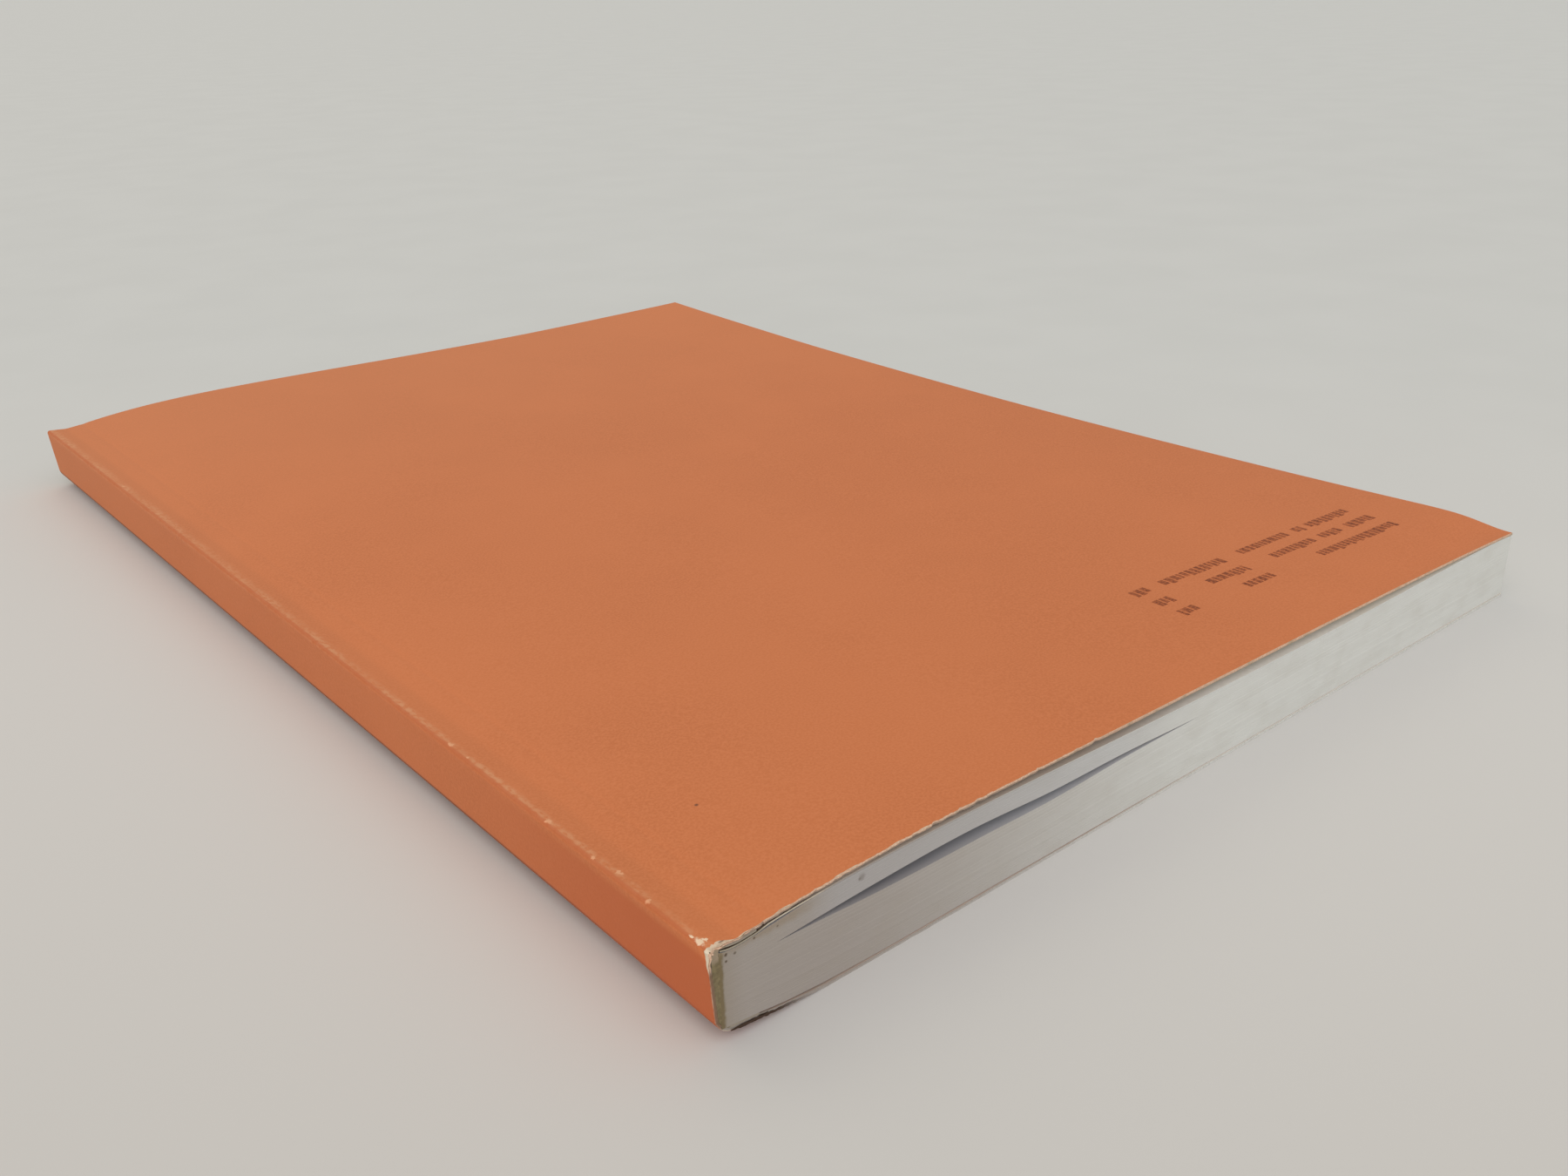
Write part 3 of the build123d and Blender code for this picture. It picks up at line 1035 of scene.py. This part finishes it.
def bunch(name, low, high, leaves, parted):
    """Box skin with two rows of points a leaf. Heights run evenly from `low` to `high`. At the head, the
    tail and the fore edge a point stands out by its leaf's own offset, less the groove between two leaves.
    `parted` marks the lowest and the highest face, 1 where it looks into a gap and is painted in shade."""
    cells = (110, 84, 2 * leaves)
    places, quads = box_skin(cells)
    i, j, k = places.T
    x = bunch_start + (fore_x - bunch_start) * (i / cells[0]) ** 1.2
    y = head_y + book_length * (j / cells[1]) ** 1.7
    z = low(x, y) * (1 - k / cells[2]) + high(x, y) * k / cells[2]
    groove = 0.006 * (k % 2 == 0)
    own = 0.006 * ripples(k // 2 * 7.3, 0, 3, seed=51)
    slow = 0.01 * ripples(x, y + 0.8 * k, 16, seed=52)
    ridge = own + slow - groove - 0.03
    x = x + ridge * (i == cells[0])
    y = y + ridge * (j == cells[1]) - ridge * (j == 0)
    on_level = np.abs(np.diff(places[quads], axis=1)).sum(1)[:, 2] == 0
    finishes = [leaf_edges, leaf_paper]
    marks = {"leaf_number": k / 2, "parted": parted[0] * (k == 0) + parted[1] * (k == cells[2])}
    points = np.stack([x, y, z], -1)
    return make_piece(name, points, quads.tolist(), finishes, "book_block", on_level.astype(int), marks)


# %% The two bunches
upper_bunch = bunch("upper_leaves", slit_roof, under_top_leaves, 21, (1, 1))
lower_bunch = bunch("lower_leaves", block_bottom, slit_floor, 63, (0, 1))
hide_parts("page_block")

# %% The sheet of the two top leaves
top_x = spine_x + 1.5 + growing(0, book_width - 1.7, 150, 1.3)
top_y = growing(head_y + 0.05, tail_y - 0.05, 60, 1.8)
leaf_x, leaf_y = np.meshgrid(top_x, top_y)
leaf_top = np.stack([leaf_x, leaf_y, top_leaves_at(leaf_x, leaf_y)], -1)
points, quads, sides = sheet(leaf_top, leaf_top - [0, 0, two_leaves])
finishes = [leaf_paper, leaf_paper, top_leaf_edge]
top_leaves = make_piece("top_leaves", points, quads.tolist(), finishes, "book_block", sides)

# %% [markdown]
# ## Print
# The back cover carries three short rows of small print. Print is not copied on this part, so each word is
# a row of plain brown blocks of about its place, length and height. Each block is a very thin sheet that
# follows the cover and rides on it.

# %% Blocks of print
proud = 0.012
ink_thickness = 0.02


def block_of_ink(x_low, x_high, y_low, y_high):
    """A very thin sheet that follows the cover between four limits, and stands a hair proud of it."""
    x, y = np.meshgrid(np.linspace(x_low, x_high, 4), np.linspace(y_low, y_high, 4))
    top = np.stack([x, y, outer_face(x, y) + proud], -1)
    return sheet(top, top - [0, 0, ink_thickness], wall_rows=1)


# %% Places of the words
# Each row's distance from the head, and where each of its words starts and ends, from the spine.
rows_of_words = [
    (21.8, [(87.0, 90.4), (93.1, 106.7), (110.5, 122.1), (123.8, 126.1), (127.2, 137.5)]),
    (17.9, [(86.9, 90.2), (98.2, 106.7), (112.7, 122.9), (124.5, 129.5), (131.3, 137.8)]),
    (14.0, [(86.8, 90.3), (100.9, 107.1), (118.2, 137.5)]),
]
askew = 0.024
rows_start = 87
block_gap = 0.3
low_half = 0.75
tall_half = 1.1

# %% Print on the upper cover
chance = np.random.default_rng(61)
ink_points, ink_quads, total = [], [], 0
for from_head, words in rows_of_words:
    for low, high in words:
        widths = chance.uniform(0.7, 1.3, int(high - low))
        ends = low + (high - low) * np.cumsum(widths) / widths.sum()
        starts = np.concatenate([[low], ends[:-1]])
        for start, end in zip(starts, ends - block_gap):
            middle = head_y + from_head - askew * (start - rows_start)
            head_side = middle - chance.choice([low_half, low_half, tall_half])
            points, quads, _ = block_of_ink(spine_x + start, spine_x + end, head_side, middle + low_half)
            ink_points.append(points)
            ink_quads.append(quads + total)
            total += len(points)
ink_points = np.concatenate(ink_points)
ink_quads = np.concatenate(ink_quads).tolist()
print_blocks = make_piece("print_blocks", ink_points, ink_quads, [printed_ink], "back_cover")

# %% [markdown]
# ## Table, light and camera
# The book lies on a plain pale table that runs on to the horizon, under a wide soft sky. Lamps would throw
# edges of shadow. Here the sky is brighter in four directions: most before the spine's near corner, then
# behind and before the book, halfway up, and a little from the fore edge. The lens itself sees the sky as
# one plain pale tone. The table is painted in shade, a little warmer and then darker towards its near side.

# %% Finish of the table
table_top, tree = new_finish("table_top", 0.8, 0.15)
at = put(tree, "ShaderNodeTexCoord", {}).outputs["Object"]
faint = put(tree, "ShaderNodeTexNoise", {"Vector": at, "Scale": 30, "Detail": 3}).outputs[0]
near_side = (-0.722, -0.692, 0)
forwards = vector_sum("DOT_PRODUCT", at, near_side, "Value")
surface = mix(step(faint, 0.3, 0.7), tone(207, 209, 204), tone(205, 207, 202))
# Painted shade: towards its near side the table turns a little warmer, then darker.
surface = mix(step(forwards, -0.15, 0.1), surface, tone(211, 210, 204))
surface = mix(step(forwards, 0.03, 0.28), surface, tone(199, 197, 190))
dress(table_top, surface)

# %% Table, a hair under the book
half = 30000.0
just_under = -0.03
corners = [(x, y, just_under) for x, y in ((-half, -half), (half, -half), (half, half), (-half, half))]
table = make_piece("table", np.array(corners), [(0, 1, 2, 3)], [table_top])

# %% Glows of the sky
world = bpy.data.worlds.new("soft_sky")
bpy.context.scene.world = world
world.use_nodes = True
sky = world.node_tree
towards = put(sky, "ShaderNodeTexCoord", {}).outputs["Generated"]


def glow(direction, power, colour):
    """Light that is brightest in one direction and fades to none at right angles: a cosine, to a power."""
    cosine = vector_sum("DOT_PRODUCT", towards, direction, "Value")
    share = sum_up("POWER", sum_up("MAXIMUM", cosine, 0.0), power)
    return put(sky, "ShaderNodeVectorMath", {0: colour, "Scale": share}, operation="SCALE").outputs[0]


# %% Sky
light = glow((-0.616, -0.616, 0.493), 4.0, (2.30, 2.09, 2.13))
for direction, power, colour in (
    ((0, -0.707, 0.707), 4.0, (0.75, 0.79, 0.85)),
    ((0, 0.707, 0.707), 4.0, (1.21, 1.13, 0.99)),
    ((1, 0, 0), 2.0, (0.42, 0.55, 0.58)),
):
    light = vector_sum("ADD", light, glow(direction, power, colour))
seen = put(sky, "ShaderNodeLightPath", {}).outputs["Is Camera Ray"]
light = mix(seen, light, tone(201, 201, 197))
background = sky.nodes["Background"]
sky.links.new(light, background.inputs["Color"])
background.inputs["Strength"].default_value = 1.0

# %% Camera
lens_mm = 32.638
camera_at = np.array([-131.28, -187.34, 88.69])
looks_at = np.array([-2.79, -29.56, 0.0])
roll = np.radians(-1.552)
back = camera_at - looks_at
back = back / np.linalg.norm(back)
level = np.cross([0, 0, 1.0], back)
level = level / np.linalg.norm(level)
upright = np.cross(back, level)
pose = np.eye(4)
pose[:3, 0] = level * np.cos(roll) + upright * np.sin(roll)
pose[:3, 1] = upright * np.cos(roll) - level * np.sin(roll)
pose[:3, 2] = back
pose[:3, 3] = camera_at * mm
lens = bpy.data.cameras.new("camera")
lens.lens = lens_mm
lens.clip_start = 0.01
lens.clip_end = 100
camera = bpy.data.objects.new("camera", lens)
bpy.context.collection.objects.link(camera)
camera.matrix_world = pose.T.tolist()
bpy.context.scene.camera = camera
bpy.context.scene.view_settings.view_transform = "Standard"
print("the camera looks from", camera_at, "mm to", looks_at, "mm")
